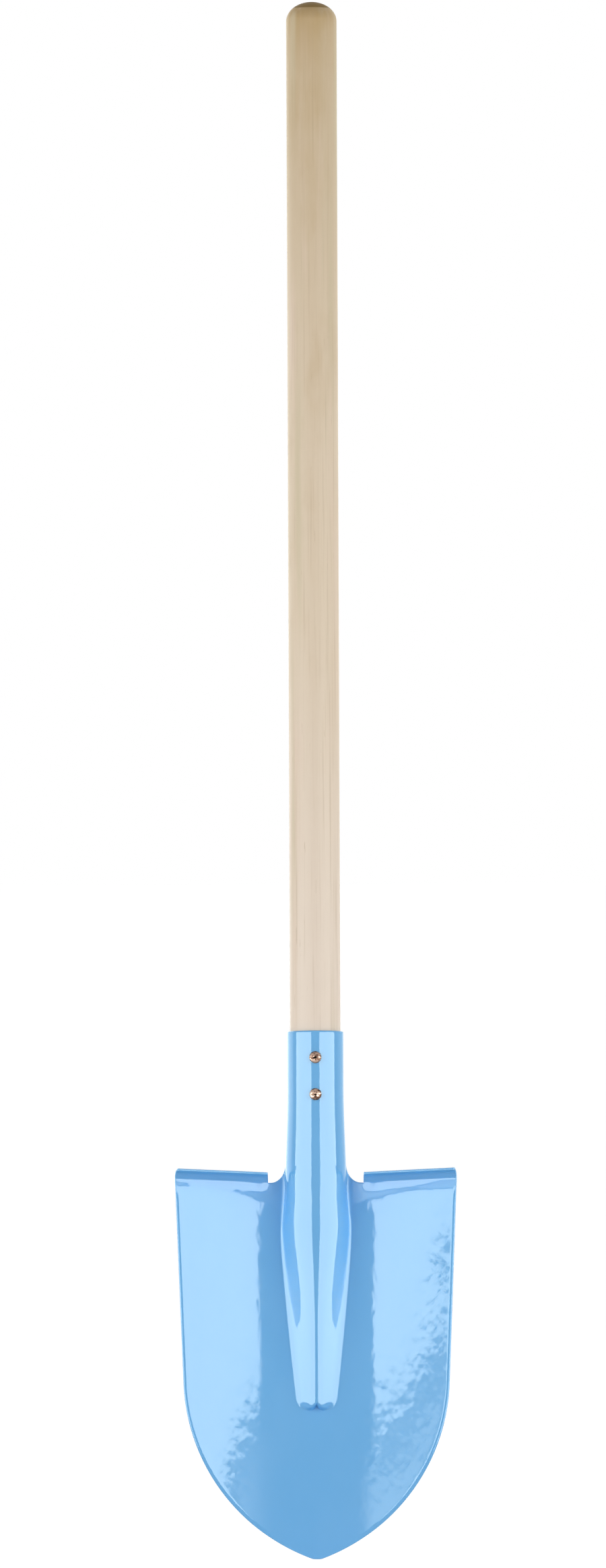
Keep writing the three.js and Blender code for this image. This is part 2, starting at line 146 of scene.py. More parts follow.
def relief_group():
    group, given, stretched, height = new_group("Relief", ["Stretch", "Detail", "Fine Share"], "Height")
    finer = add_node(group, "ShaderNodeVectorMath", {0: stretched, "Scale": FINE_SCALE}, operation="SCALE")
    broad, fine = [
        add_node(group, "ShaderNodeTexNoise", {"Vector": where, "Scale": 1.0, "Detail": given["Detail"]})
        for where in (stretched, finer.outputs["Vector"])
    ]
    rest = calc(group, "SUBTRACT", 1.0, given["Fine Share"])
    broad_part = calc(group, "MULTIPLY", broad.outputs["Fac"], rest)
    both = calc(group, "MULTIPLY_ADD", fine.outputs["Fac"], given["Fine Share"], broad_part)
    group.links.new(both, height)
    return group


def blotches_group():
    group, given, stretched, mask = new_group("Blotches", ["Stretch", "Low", "High"], "Mask")
    noise = add_node(group, "ShaderNodeTexNoise",
                     {"Vector": stretched, "Scale": 1.0, "Detail": 3.0, "Roughness": 0.55})
    group.links.new(remap(group, noise.outputs["Fac"], given["Low"], given["High"]), mask)
    return group


relief = relief_group()
blotches = blotches_group()
print("groups:", relief.name, blotches.name)

# %% Start a material
def effect(tree, group, **values):
    """Places a group in a material with its own values and returns its result."""
    made = add_node(tree, "ShaderNodeGroup", node_tree=group)
    for name, value in values.items():
        made.inputs[name.replace("_", " ")].default_value = value
    return made.outputs[0]


def new_material(name, **constants):
    """A material with one Principled shader. Constants go straight onto the shader's own sockets."""
    material = bpy.data.materials.new(name)
    material.use_nodes = True
    shader = material.node_tree.nodes["Principled BSDF"]
    for socket, value in constants.items():
        shader.inputs[socket.replace("_", " ")].default_value = value
    return material, material.node_tree, shader


def add_bump(tree, shader, height, distance):
    bump = add_node(tree, "ShaderNodeBump", {"Height": height, "Distance": distance, "Strength": 1.0})
    tree.links.new(bump.outputs["Normal"], shader.inputs["Normal"])


MM = 0.001
print("materials can be started")

# %% [markdown]
# ## Blue enamel
# The pressing is dipped or sprayed in a thick glossy enamel. It flows out smooth but keeps a faint orange
# peel, which is what breaks up the edges of the reflections on the blade. One glossy Principled layer is
# enough here, because the ripple has to bend the gloss itself. Enamel covers well, so its colour varies by
# a few hundredths only.

# %% Enamel
ENAMEL = from_srgb(106, 181, 236)
ENAMEL_THIN = from_srgb(110, 183, 237)
PEEL_HEIGHT = 0.045 * MM


def enamel():
    material, tree, shader = new_material("blue_enamel", Roughness=0.05, IOR=1.5)
    cover = effect(tree, blotches, Stretch=(40, 40, 25), Low=0.35, High=0.7)
    tree.links.new(mix_colour(tree, cover, ENAMEL, ENAMEL_THIN), shader.inputs["Base Color"])
    peel = effect(tree, relief, Stretch=(210, 210, 130), Detail=1.0, Fine_Share=0.08)
    add_bump(tree, shader, peel, PEEL_HEIGHT)
    return material


blue_enamel = enamel()
print("material:", blue_enamel.name)

# %% [markdown]
# ## Pale wood
# The handle is a plain pale hardwood, turned and sanded but hardly sealed. Its grain runs along the rod as
# soft streaks, some khaki and some pinkish, with fine fibres over them and a few short dark flecks. The
# colour runs from a golden tan at the top to a pale cream at the socket. This is partly the wood's own tone
# and partly painted shade, darker towards the top where less light falls. The top few centimetres get more
# painted shade, and random cloudy patches grow towards the top. The sawn end at the very top is painted
# darker, as end grain and as painted shade on the up-facing cap. All patterns are noise on Object
# coordinates, squeezed so that they run along the rod.

# %% Wood
handle_low, handle_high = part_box("handle")
blade_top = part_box("blade")[1].z
# The top and middle colours mix the wood's own tone with painted shade: the rod is painted darker towards
# the top.
WOOD_TOP_TONE_AND_SHADE = from_srgb(206, 184, 151)
WOOD_MIDDLE_TONE_AND_SHADE = from_srgb(222, 203, 178)
WOOD_FOOT = from_srgb(233, 216, 199)
WOOD_KHAKI = from_srgb(205, 190, 158)
WOOD_PINK = from_srgb(228, 205, 186)
WOOD_FIBRE = from_srgb(186, 163, 130)
# The darker cap colour is end grain together with painted shade on the up-facing dome.
WOOD_END_GRAIN_AND_SHADE = from_srgb(140, 113, 62)
# Painted shade darkens the top of the rod, and the same colour tints the random cloudy patches.
WOOD_CLOUD_AND_SHADE = from_srgb(188, 160, 114)
TOP_SHADE_LENGTH = 32 * MM
TOP_SHADE_SHARE = 0.6
CLOUD_SHARE = 0.4
STREAK_SHARE = 0.65
FIBRE_SHARE = 0.35
FLECK_SHARE = 0.4
END_GRAIN_AND_SHADE_DEPTH = 3.6 * MM
END_GRAIN_AND_SHADE_SOFT = 0.3 * MM
FIBRE_HEIGHT = 0.06 * MM


def wood():
    material, tree, shader = new_material("pale_wood", IOR=1.45, Specular_IOR_Level=0.2)
    place = add_node(tree, "ShaderNodeTexCoord").outputs["Object"]
    height = add_node(tree, "ShaderNodeSeparateXYZ", {"Vector": place}).outputs["Z"]
    middle = (blade_top + handle_high.z) / 2
    # Painted shade: the base colour runs darker from the socket up to the top.
    shaded_tone = mix_colour(tree, remap(tree, height, blade_top, middle), WOOD_FOOT, WOOD_MIDDLE_TONE_AND_SHADE)
    shaded_tone = mix_colour(tree, remap(tree, height, middle, handle_high.z), shaded_tone, WOOD_TOP_TONE_AND_SHADE)
    # Painted shade over the top of the rod, plus random cloudy patches that grow towards the top.
    top_shade = remap(tree, height, handle_high.z - TOP_SHADE_LENGTH, handle_high.z)
    upper = remap(tree, height, blade_top, handle_high.z)
    cloudy = effect(tree, blotches, Stretch=(70, 70, 20), Low=0.42, High=0.7)
    clouds = calc(tree, "MULTIPLY", calc(tree, "MULTIPLY", upper, cloudy), CLOUD_SHARE)
    cloud_and_shade = calc(tree, "MULTIPLY_ADD", top_shade, TOP_SHADE_SHARE, clouds)
    shaded_tone = mix_colour(tree, cloud_and_shade, shaded_tone, WOOD_CLOUD_AND_SHADE)
    khaki = effect(tree, blotches, Stretch=(95, 95, 3.5), Low=0.5, High=0.7)
    pink = effect(tree, blotches, Stretch=(70, 70, 5), Low=0.52, High=0.72)
    streaked = mix_colour(tree, calc(tree, "MULTIPLY", khaki, STREAK_SHARE), shaded_tone, WOOD_KHAKI)
    streaked = mix_colour(tree, calc(tree, "MULTIPLY", pink, STREAK_SHARE), streaked, WOOD_PINK)
    fibres = effect(tree, blotches, Stretch=(900, 900, 14), Low=0.5, High=0.8)
    grained = mix_colour(tree, calc(tree, "MULTIPLY", fibres, FIBRE_SHARE), streaked, WOOD_FIBRE)
    flecks = effect(tree, blotches, Stretch=(700, 700, 60), Low=0.68, High=0.76)
    grained = mix_colour(tree, calc(tree, "MULTIPLY", flecks, FLECK_SHARE), grained, WOOD_FIBRE)
    # Darker cap at the very top: end grain and painted shade on the up-facing dome.
    end_line = handle_high.z - END_GRAIN_AND_SHADE_DEPTH
    end = remap(tree, height, end_line, end_line + END_GRAIN_AND_SHADE_SOFT)
    tree.links.new(mix_colour(tree, end, grained, WOOD_END_GRAIN_AND_SHADE), shader.inputs["Base Color"])
    rough = calc(tree, "MULTIPLY_ADD", fibres, 0.15, 0.5)
    tree.links.new(rough, shader.inputs["Roughness"])
    add_bump(tree, shader, effect(tree, relief, Stretch=(500, 500, 10), Detail=2.0, Fine_Share=0.4),
             FIBRE_HEIGHT)
    return material


pale_wood = wood()
print("material:", pale_wood.name)

# %% [markdown]
# ## Brass screws
# Small brass-coloured wood screws hold the socket. Their heads are turned, so they show faint rings, and
# they have begun to tarnish, which makes brown patches that are also less shiny. Metallic stays at 1: the
# tarnish is a darker, rougher metal, not a paint.

# %% Brass
BRASS = from_srgb(172, 144, 128)
BRASS_TARNISHED = from_srgb(78, 54, 44)
RING_HEIGHT = 0.04 * MM


def brass():
    material, tree, shader = new_material("screw_brass", Metallic=1.0)
    tarnish = effect(tree, blotches, Stretch=(450, 450, 1000), Low=0.4, High=0.6)
    tree.links.new(mix_colour(tree, tarnish, BRASS, BRASS_TARNISHED), shader.inputs["Base Color"])
    tree.links.new(calc(tree, "MULTIPLY_ADD", tarnish, 0.2, 0.3), shader.inputs["Roughness"])
    add_bump(tree, shader, effect(tree, relief, Stretch=(900, 900, 900), Detail=2.0, Fine_Share=0.3),
             RING_HEIGHT)
    return material


screw_brass = brass()
print("material:", screw_brass.name)

# %% [markdown]
# ## The pressing: sizes
# Blade, treads and socket are one sheet of steel. A press cuts the blank, dishes the blade, raises the
# ridge and bends the treads forward, and the neck is rolled into a socket whose edges almost meet at the
# back. A cage with subdivision would be quicker to rough out, but the gloss would show every uneven face.
# Each line on the sheet follows a rule, so the middle of the sheet is worked out as a net of points:
# lanes run up the sheet and rows run across it.

# %% Sizes of the pressing
SHEET = 1.2 * MM
SOCKET_LENGTH = 78.8 * MM
SOCKET_STRAIGHT = 30 * MM
SOCKET_FLARE = 1.2 * MM
HANDLE_CLEARANCE = 0.3 * MM
MOUTH_CROWN = 1.2 * MM
SEAM_GAP = 1.6 * MM
SEAM_LENGTH = 38 * MM

handle_radius = handle_high.x
axis_depth = (handle_low.y + handle_high.y) / 2
shoulder = blade_top - SOCKET_LENGTH
flare_top = blade_top - SOCKET_STRAIGHT
seam_foot = blade_top - SEAM_LENGTH
mouth_radius = handle_radius + HANDLE_CLEARANCE + SHEET / 2
shoulder_radius = mouth_radius + SOCKET_FLARE
print("shoulder at", round(shoulder, 4), "socket radius", round(mouth_radius, 5))

# %% Rules for blending
def mix(start, end, share):
    return start + (end - start) * share


def ease(share):
    """Runs from 0 to 1, level at both ends."""
    share = np.clip(share, 0, 1)
    return share * share * (3 - 2 * share)


def soft_start(share, softness=0.15):
    """Runs from 0 to 1: level at first, then straight."""
    return (np.hypot(share, softness) - softness) / (np.hypot(1, softness) - softness)


print("half way:", ease(0.5), round(float(soft_start(0.5)), 3))

# %% [markdown]
# ## The pressing: outline and dish
# Seen from the front, each side is a straight taper, one long arc and a rounded tip, each tangent to the
# next. Across, the blade is dished like part of a wide tube, and along its length it bends a little and
# leans forward. The dish is what gathers the reflections of the lamps into two bright fields with a dark
# band between them. Just below the treads the sheet first rolls back a little and then turns forward as a
# narrow lip. Neither is more than about a millimetre deep, but they draw a dark arc and a bright line in
# the gloss.

# %% Outline
BLADE_WIDTH = 144 * MM
BLADE_TAPER = 4 * MM
POINT_HEIGHT = 90 * MM
TIP_RADIUS = 9 * MM

point_start = Vector((BLADE_WIDTH / 2 - BLADE_TAPER, POINT_HEIGHT))
taper_run = (Vector((BLADE_WIDTH / 2, shoulder)) - point_start).normalized()
inward = Vector((-taper_run.y, taper_run.x))
tip_centre = Vector((0, TIP_RADIUS))
to_start = point_start - tip_centre
side_radius = (TIP_RADIUS**2 - to_start.length_squared) / (2 * (inward.dot(to_start) + TIP_RADIUS))
side_centre = point_start + side_radius * inward
tip_join = side_centre + (tip_centre - side_centre).normalized() * side_radius


def half_width(z):
    taper = mix(point_start.x, BLADE_WIDTH / 2, (z - POINT_HEIGHT) / (shoulder - POINT_HEIGHT))
    arc = side_centre.x + np.sqrt(np.maximum(0, side_radius**2 - (z - side_centre.y) ** 2))
    tip = np.sqrt(np.maximum(0, TIP_RADIUS**2 - (z - TIP_RADIUS) ** 2))
    return np.select([z >= POINT_HEIGHT, z >= tip_join.y], [taper, arc], tip)


def edge_squareness(z):
    """How squarely a row meets the outline: 1 at the straight sides, 0 at the very tip."""
    arc = (half_width(z) - side_centre.x) / side_radius
    return np.select([z >= POINT_HEIGHT, z >= tip_join.y], [taper_run.y, arc], half_width(z) / TIP_RADIUS)


print("side arc radius", round(side_radius, 4))

# %% Dish
SETBACK = 2 * MM
LIFT_ANGLE = math.radians(3.5)
LENGTHWISE_RADIUS = 1400 * MM
DISH_RADIUS_TOP = 190 * MM
DISH_RADIUS_LOW = 185 * MM
DISH_RUN = 60 * MM
ROLL_ANGLE = math.radians(3.55)
ROLL_RUN_INNER = 44 * MM
ROLL_RUN_OUTER = 3 * MM
ROLL_LIMIT = 4 * MM
LIP_HEIGHT_INNER = 5.5 * MM
LIP_HEIGHT_OUTER = 1.5 * MM
LIP_ANGLE = math.radians(7)
LIP_START = 22 * MM
LIP_FADE = 6 * MM
NOTCH_WIDTH = 9.2 * MM
TREAD_RISE = 2.7 * MM

tread_inner = shoulder_radius + SHEET / 2 + NOTCH_WIDTH


def along_tread(x):
    """0 at the tread's inner end and at all points further in, 1 at its outer end."""
    return np.maximum(0, x - tread_inner) / (BLADE_WIDTH / 2 - tread_inner)


def tread_line(x):
    """The height at which the tread's bend starts."""
    return shoulder + TREAD_RISE * along_tread(x)


def pan_depth(x, z):
    """Where the middle of the sheet lies, front to back, if there is no ridge."""
    drop = shoulder - z
    lengthwise = math.tan(LIFT_ANGLE) * drop + drop**2 / (2 * LENGTHWISE_RADIUS)
    dish = mix(1 / DISH_RADIUS_TOP, 1 / DISH_RADIUS_LOW, ease(drop / DISH_RUN))
    run = mix(ROLL_RUN_OUTER, ROLL_RUN_INNER, (1 - np.minimum(1, x / (BLADE_WIDTH / 2))) ** 2.3)
    rolled = np.clip(1 - drop / run, 0, 1 + ROLL_LIMIT / run)
    roll = math.tan(ROLL_ANGLE) * run / 2 * rolled**2
    lip_height = mix(LIP_HEIGHT_INNER, LIP_HEIGHT_OUTER, along_tread(x))
    bent = np.clip(1 - (tread_line(x) - z) / lip_height, 0, 1)
    lip = math.tan(LIP_ANGLE) * lip_height / 2 * bent**2 * ease((x - LIP_START) / LIP_FADE)
    return SETBACK - lengthwise - x**2 * dish / 2 + roll - lip


print("blade is dished by", round(float(pan_depth(0, 0.1) - pan_depth(half_width(0.1), 0.1)), 4))

# %% [markdown]
# ## The pressing: ridge
# The socket does not stop at the shoulder. It runs on down the blade as a ridge, swells a little, then
# sharpens into a keel and dies out in a nose with two small round lobes. Every level has a half-section
# from crest to foot, and each is one conic arc: in the socket it is a true circle, and lower down its
# weight and its corner slide towards the keel. That keeps the crest's reflection unbroken from top to
# bottom. A small parabola rounds the foot of the ridge into the blade.

# %% Ridge
RIDGE_BULGE = 1.6 * MM
RIDGE_BULGE_DEPTH = 24 * MM
RIDGE_LENGTH = 114 * MM
RIDGE_END_HALF_WIDTH = 9.2 * MM
RIDGE_END_RISE = 4.4 * MM
RIDGE_SHARPEN_LENGTH = 75 * MM
KEEL_REACH = 0.2
KEEL_WEIGHT = 1.7
NOSE_LENGTH = 2.5 * MM
NOSE_RADIUS = 3.2 * MM
NOSE_LOBE = 4.2 * MM
NOSE_ROUND = 7 * MM
NOSE_NARROWING = 5.6 * MM
FOOT_FILLET = 2 * MM
FOOT_FILLET_SHOULDER = 3.6 * MM
ARCH_END = 0.88

nose_height = shoulder - RIDGE_LENGTH
nose_foot = nose_height - NOSE_LENGTH


def socket_radius(z):
    return mouth_radius + SOCKET_FLARE * ease((flare_top - z) / (flare_top - shoulder))


def ridge_spread(z):
    """Below the ridge its lanes draw together with the outline."""
    return np.minimum(1, half_width(z) / half_width(nose_foot))


def arch_section(z):
    """The half-section at a level: crest depth, corner, foot, foot depth, weight of the conic."""
    drop = np.maximum(0, shoulder - z)
    radius = socket_radius(z)
    opening = np.arccos(-pan_depth(radius, np.maximum(z, shoulder)) / radius)
    round_corner = radius * np.tan(opening / 2)
    round_foot = radius * np.sin(opening)
    round_weight = np.cos(opening / 2)
    swell = mix(round_foot, shoulder_radius + RIDGE_BULGE, ease(drop / RIDGE_BULGE_DEPTH))
    along = np.clip((drop - RIDGE_BULGE_DEPTH) / (RIDGE_LENGTH - RIDGE_BULGE_DEPTH), 0, 1)
    rounded = np.clip((drop - RIDGE_LENGTH - NOSE_LENGTH) / NOSE_ROUND + 1, 0, 0.97)
    narrowing = NOSE_NARROWING * (1 - np.sqrt(1 - rounded**2))
    ridge_foot = (mix(swell, RIDGE_END_HALF_WIDTH, soft_start(along)) - narrowing) * ridge_spread(z)
    end_crest = pan_depth(0, nose_height) - RIDGE_END_RISE
    sharpen = np.clip(drop / RIDGE_SHARPEN_LENGTH, 0, 1)
    reach = mix(KEEL_REACH, round_corner / round_foot, (1 - sharpen) ** 1.5)
    below = drop > 0
    crest = np.where(below, mix(-shoulder_radius, end_crest, drop / RIDGE_LENGTH), -radius)
    corner = np.where(below, ridge_foot * reach, round_corner)
    foot = np.where(below, ridge_foot, round_foot)
    foot_depth = np.where(below, pan_depth(ridge_foot, z), -radius * np.cos(opening))
    weight = np.where(below, mix(round_weight, KEEL_WEIGHT, sharpen**2), round_weight)
    return crest, corner, foot, foot_depth, weight


def arch_point(share, z):
    """Points of the ridge, from crest (share 0) to foot (share 1)."""
    crest, corner, foot, foot_depth, weight = arch_section(z)
    at_crest = (1 - share) ** 2
    at_corner = 2 * share * (1 - share) * weight
    at_foot = share**2
    total = at_crest + at_corner + at_foot
    x = (at_corner * corner + at_foot * foot) / total
    conic = ((at_crest + at_corner) * crest + at_foot * foot_depth) / total
    drop = np.maximum(0, shoulder - z)
    past_nose = np.clip((drop + (x - NOSE_LOBE) ** 2 / (2 * NOSE_RADIUS) - RIDGE_LENGTH) / NOSE_LENGTH,
                        0, 1)
    rise = (foot_depth - conic) * (1 - past_nose**2) ** 2
    settle = np.clip(drop / RIDGE_LENGTH, 0, 1) * (pan_depth(x, z) - foot_depth)
    return np.column_stack((x, foot_depth - rise + settle, z))


def fillet_end(z):
    drop = np.maximum(0, shoulder - z)
    reach = mix(FOOT_FILLET_SHOULDER, FOOT_FILLET, ease(drop / RIDGE_BULGE_DEPTH))
    return arch_section(z)[2] + reach * ridge_spread(z)


def fillet_point(share, z):
    """Points of the rounded foot, from the ridge (share 0) to the blade (share 1)."""
    start = arch_point(ARCH_END, z)
    _, _, foot, foot_depth, _ = arch_section(z)
    corner = np.column_stack((foot, foot_depth, z))
    end = np.column_stack((fillet_end(z), pan_depth(fillet_end(z), z), z))
    return (1 - share) ** 2 * start + 2 * share * (1 - share) * corner + share**2 * end


print("ridge nose ends at", round(nose_foot, 4))

# %% [markdown]
# ## The pressing: pan, rim and lanes
# Between ridge and edge lies the plain pan. A narrow strip along the edge turns back, as a cut and pressed
# edge does, and draws a thin line round the blade. Lanes are packed closer where the sheet curves
# tightly, so the mesh spends its faces where the gloss would show them.

# %% Pan, rim and lanes
RIM_WIDTH = 1.6 * MM
RIM_DROP = 0.5 * MM
RIM_FADE = 20 * MM
RIM_TOP_FADE = 8 * MM
NOTCH_FILLET_WIDTH = 8 * MM
NOTCH_FILLET_HEIGHT = 11 * MM
ARCH_LANES = 30
FILLET_LANES = 12
NOTCH_LANES = 8
PAN_LANES = 28
RIM_LANES = 8
# One more lane close to the tread's inner end keeps that corner crisp.
CREASE_LANE = 0.006

web_top = shoulder + NOTCH_FILLET_HEIGHT


def rim_span(z):
    square = np.maximum(edge_squareness(z), RIM_WIDTH / TIP_RADIUS)
    return np.minimum(RIM_WIDTH / square, half_width(z) / 4)


def pan_point(share, z):
    x = mix(fillet_end(z), half_width(z) - rim_span(z), share)
    return np.column_stack((x, pan_depth(x, z), z))


def rim_point(share, z):
    x = half_width(z) - rim_span(z) * (1 - share)
    fade = ease(z / RIM_FADE) * ease((shoulder - z) / RIM_TOP_FADE)
    return np.column_stack((x, pan_depth(x, z) + RIM_DROP * fade * share**2, z))


at_shoulder = np.array([shoulder])
pan_inner = float(fillet_end(at_shoulder)[0])
pan_outer = float((half_width(at_shoulder) - rim_span(at_shoulder))[0])
notch_share = (tread_inner - pan_inner) / (pan_outer - pan_inner)

arch_shares = np.linspace(0, ARCH_END, ARCH_LANES + 1)
fillet_shares = np.linspace(0, 1, FILLET_LANES + 1)[1:] ** 1.5
notch_shares = np.linspace(0, notch_share, NOTCH_LANES + 1)[1:]
pan_shares = np.append(notch_share + CREASE_LANE, np.linspace(notch_share, 1, PAN_LANES + 1)[1:])
rim_shares = np.linspace(0, 1, RIM_LANES + 1)[1:]
lanes = [(arch_point, share) for share in arch_shares]
lanes += [(fillet_point, share) for share in fillet_shares]
lanes += [(pan_point, share) for share in (*notch_shares, *pan_shares)]
lanes += [(rim_point, share) for share in rim_shares]
last_arch = len(arch_shares) - 1
tread_lane = last_arch + len(fillet_shares) + len(notch_shares)
print(len(lanes), "lanes on each side")

# %% [markdown]
# ## The pressing: blank, treads and socket
# The blank ends at its top edge: up the side of the socket, round a notch, and along the tread's bend.
# Rows near the top are squeezed so that the last one lies on that edge. From there the treads bend forward,
# starting at the lip's angle, and run out flat with rounded outer corners, and the socket runs on up and
# wraps round to its seam. Each patch starts on points of its neighbour, so they can be welded.

# %% Blank
NOSE_MARGIN = 2 * MM
LOBE_HEIGHT = 6 * MM
LOW_ROWS = 30
NOSE_ROWS = 38
RIDGE_ROWS = 38
TOP_ROWS = 18
# A last row close to the open edge keeps that edge crisp.
LAST_ROW = 0.985

top_zone = shoulder - RIDGE_BULGE_DEPTH
web_inner = float(arch_point(ARCH_END, at_shoulder)[0, 0])


def top_edge(x):
    corner = np.clip(1 - (x - web_inner) / NOTCH_FILLET_WIDTH, 0, 1)
    fillet = NOTCH_FILLET_HEIGHT * (1 - np.sqrt(1 - corner**2))
    return tread_line(x) + fillet


low_end = nose_foot - NOSE_MARGIN
lobe_top = nose_height + LOBE_HEIGHT
low_rows = low_end * np.linspace(0, 1, LOW_ROWS + 1)[:-1] ** 2
nose_rows = np.linspace(low_end, lobe_top, NOSE_ROWS + 1)[:-1]
ridge_rows = np.linspace(lobe_top, top_zone, RIDGE_ROWS + 1)[:-1]
top_rows = np.append(np.linspace(0, LAST_ROW, TOP_ROWS + 1), 1)


def blank_lane(index):
    rule, share = lanes[index]
    top = web_top if index <= last_arch else float(top_edge(rule(share, at_shoulder)[0, 0]))
    levels = np.concatenate((low_rows, nose_rows, ridge_rows, mix(top_zone, top, top_rows)))
    return rule(share, levels)


blank = np.array([blank_lane(index) for index in range(len(lanes))])
print("blank net:", blank.shape[:2])

# %% Treads
TREAD_BEND = 5 * MM
TREAD_DEPTH = 7 * MM
TREAD_CORNER = 2.2 * MM
TREAD_INSET = 1.2 * MM
TREAD_INSET_RUN = 6 * MM
BEND_STEPS = 12
FLAT_STEPS = 6
LAST_STEP = 0.96

bend_radius = (TREAD_BEND + SHEET / 2) / (1 - math.sin(LIP_ANGLE))


def tread_net():
    edge = blank[tread_lane:, -1]
    from_end = np.clip((edge[-1, 0] - edge[:, 0]) / TREAD_CORNER, 0, 1)
    depth = TREAD_DEPTH - TREAD_CORNER * (1 - np.sqrt(1 - (1 - from_end) ** 2))
    inset = TREAD_INSET * np.clip(1 - (edge[-1, 0] - edge[:, 0]) / TREAD_INSET_RUN, 0, 1)
    rows = [edge]
    for turn in np.linspace(LIP_ANGLE, math.pi / 2, BEND_STEPS + 1)[1:]:
        bent = np.array((0, math.cos(turn) - math.cos(LIP_ANGLE), math.sin(turn) - math.sin(LIP_ANGLE)))
        climbed = bent[2] / (1 - math.sin(LIP_ANGLE))
        inward_shift = np.outer(inset * (1 - math.sqrt(1 - climbed**2)), (1, 0, 0))
        rows.append(edge + bend_radius * bent - inward_shift)
    for share in (*np.linspace(0, LAST_STEP, FLAT_STEPS + 1)[1:], 1):
        forward = np.column_stack((np.zeros_like(depth), -depth * share, np.zeros_like(depth)))
        rows.append(rows[BEND_STEPS] + forward)
    return np.array(rows).swapaxes(0, 1)


treads = tread_net()
print("tread net:", treads.shape[:2])

# %% Socket
SOCKET_ROWS = 40
LAST_SOCKET_ROW = 0.993
WRAP_LANES = 24

seam_edge = math.pi - SEAM_GAP / 2 / mouth_radius
socket_shares = np.append(np.linspace(0, LAST_SOCKET_ROW, SOCKET_ROWS + 1) ** 1.4, 1)
wrap_shares = np.linspace(0, 1, WRAP_LANES + 1)


def mouth_height(angle):
    return blade_top - MOUTH_CROWN * (1 - np.cos(angle))


def socket_lane(share):
    start = arch_point(share, np.array([web_top]))[0]
    mouth = mouth_height(math.atan2(start[0], -start[1]))
    return arch_point(share, mix(web_top, mouth, socket_shares))


def wrap_lane(share, side):
    side_angle = np.arctan2(side[:, 0], -side[:, 1])
    edge_angle = mix(side_angle, seam_edge, ease((side[:, 2] - web_top) / (seam_foot - web_top)))
    angle = mix(side_angle, edge_angle, share)
    z = side[:, 2] + (mouth_height(angle) - mouth_height(side_angle)) * socket_shares
    radius = socket_radius(z)
    return np.column_stack((radius * np.sin(angle), -radius * np.cos(angle), z))


socket = np.array([socket_lane(share) for share in arch_shares])
wrap = np.array([socket[-1] if share == 0 else wrap_lane(share, socket[-1]) for share in wrap_shares])
print("socket net:", socket.shape[:2], "wrap net:", wrap.shape[:2])

# %% [markdown]
# ## The pressing: from nets to a sheet
# The four nets and their mirror images become one surface, welded where they meet. Then the surface gets
# its thickness: every point moves half a sheet forward and half a sheet back along its normal. A Solidify
# modifier would leave square edges, and paint never leaves those, so the edge is closed with a small
# rounded strip instead.

# %% Weld the nets
def add_net(surface, net, side):
    """Adds a net of points to the surface as quads that look forward and outward."""
    points = [[surface.verts.new((side * x, y, z)) for x, y, z in lane] for lane in net]
    for lane, beside in zip(points, points[1:]):
        for row in range(len(lane) - 1):
            quad = [lane[row], beside[row], beside[row + 1], lane[row + 1]]
            surface.faces.new(quad if side > 0 else quad[::-1])


def middle_surface():
    surface = bmesh.new()
    for net in (blank, treads, socket, wrap):
        for side in (1, -1):
            add_net(surface, net, side)
    bmesh.ops.remove_doubles(surface, verts=surface.verts, dist=0.001 * MM)
    surface.normal_update()
    return surface


surface = middle_surface()
print("surface:", len(surface.verts), "points,", len(surface.faces), "faces")

# %% Thicken the surface
EDGE_STEPS = 4
EDGE_REACH = 0.3 * MM


def edge_outward(vert):
    """At an open edge, the direction in the sheet that points away from it."""
    total = Vector()
    for edge in vert.link_edges:
        if edge.is_boundary:
            loop = edge.link_loops[0]
            run = loop.link_loop_next.vert.co - loop.vert.co
            total += run.normalized().cross(vert.normal)
    return total.normalized()


def thick_sheet(name, surface):
    """Two skins half a sheet in front and behind, and a rounded strip along every open edge."""
    solid = bmesh.new()
    rings = {}
    for vert in surface.verts:
        turns = (0, math.pi)
        outward = Vector()
        if vert.is_boundary:
            turns = np.linspace(0, math.pi, EDGE_STEPS + 1)
            outward = edge_outward(vert)
        rings[vert] = [
            solid.verts.new(vert.co + vert.normal * math.cos(turn) * SHEET / 2
                            + outward * math.sin(turn) * EDGE_REACH)
            for turn in turns
        ]
    for face in surface.faces:
        solid.faces.new([rings[vert][0] for vert in face.verts])
        solid.faces.new([rings[vert][-1] for vert in reversed(face.verts)])
    for edge in surface.edges:
        if edge.is_boundary:
            loop = edge.link_loops[0]
            start, end = rings[loop.vert], rings[loop.link_loop_next.vert]
            for step in range(EDGE_STEPS):
                solid.faces.new((end[step], start[step], start[step + 1], end[step + 1]))
    mesh = bpy.data.meshes.new(name)
    solid.to_mesh(mesh)
    solid.free()
    mesh.shade_smooth()
    return mesh


def hand_over(name, mesh, slot, *nodes):
    """Puts a finished mesh into the scene in place of the frame's solids."""
    mesh.transform(Matrix.Translation((0, axis_depth, 0)))
    piece = bpy.data.objects.new(name, mesh)
    bpy.context.scene.collection.objects.link(piece)
    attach(piece, "root")
    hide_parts(*nodes)
    print(name, "has", sum(len(face.vertices) - 2 for face in mesh.polygons), "triangles")
    return piece


blade_mesh = thick_sheet("pressed_blade", surface)
blade_mesh.materials.append(blue_enamel)
surface.free()
pressed_blade = hand_over("pressed_blade", blade_mesh, "blue_paint", "blade")

# %% [markdown]
# ## Turned pieces
# The handle came off a lathe, and so did the screws before their threads were cut. A turned piece follows
# one rule: a cone or flat foot, a straight length, a second cone or shoulder, another straight length and a
# dome. Geometry Nodes can bend a flat grid into that shape: one side of the grid becomes the turn round the
# axis, and the other runs along the profile in five windows. Both pieces then share one tree with named
# sizes.

# %% A tree for turned pieces
PROFILE_WINDOWS = {"foot": (0.0, 0.1), "stem": (0.1, 0.2), "step": (0.2, 0.3), "body": (0.3, 0.6),
                   "dome": (0.6, 1.0)}
SHARP_ANGLE = math.radians(35)


def new_tree(name, lengths):
    """A Geometry Nodes tree with a named length for each input, and one geometry as its result."""
    tree = bpy.data.node_groups.new(name, "GeometryNodeTree")
    for length in lengths:
        tree.interface.new_socket(length, in_out="INPUT", socket_type="NodeSocketFloat")
    tree.interface.new_socket("Geometry", in_out="OUTPUT", socket_type="NodeSocketGeometry")
    return tree


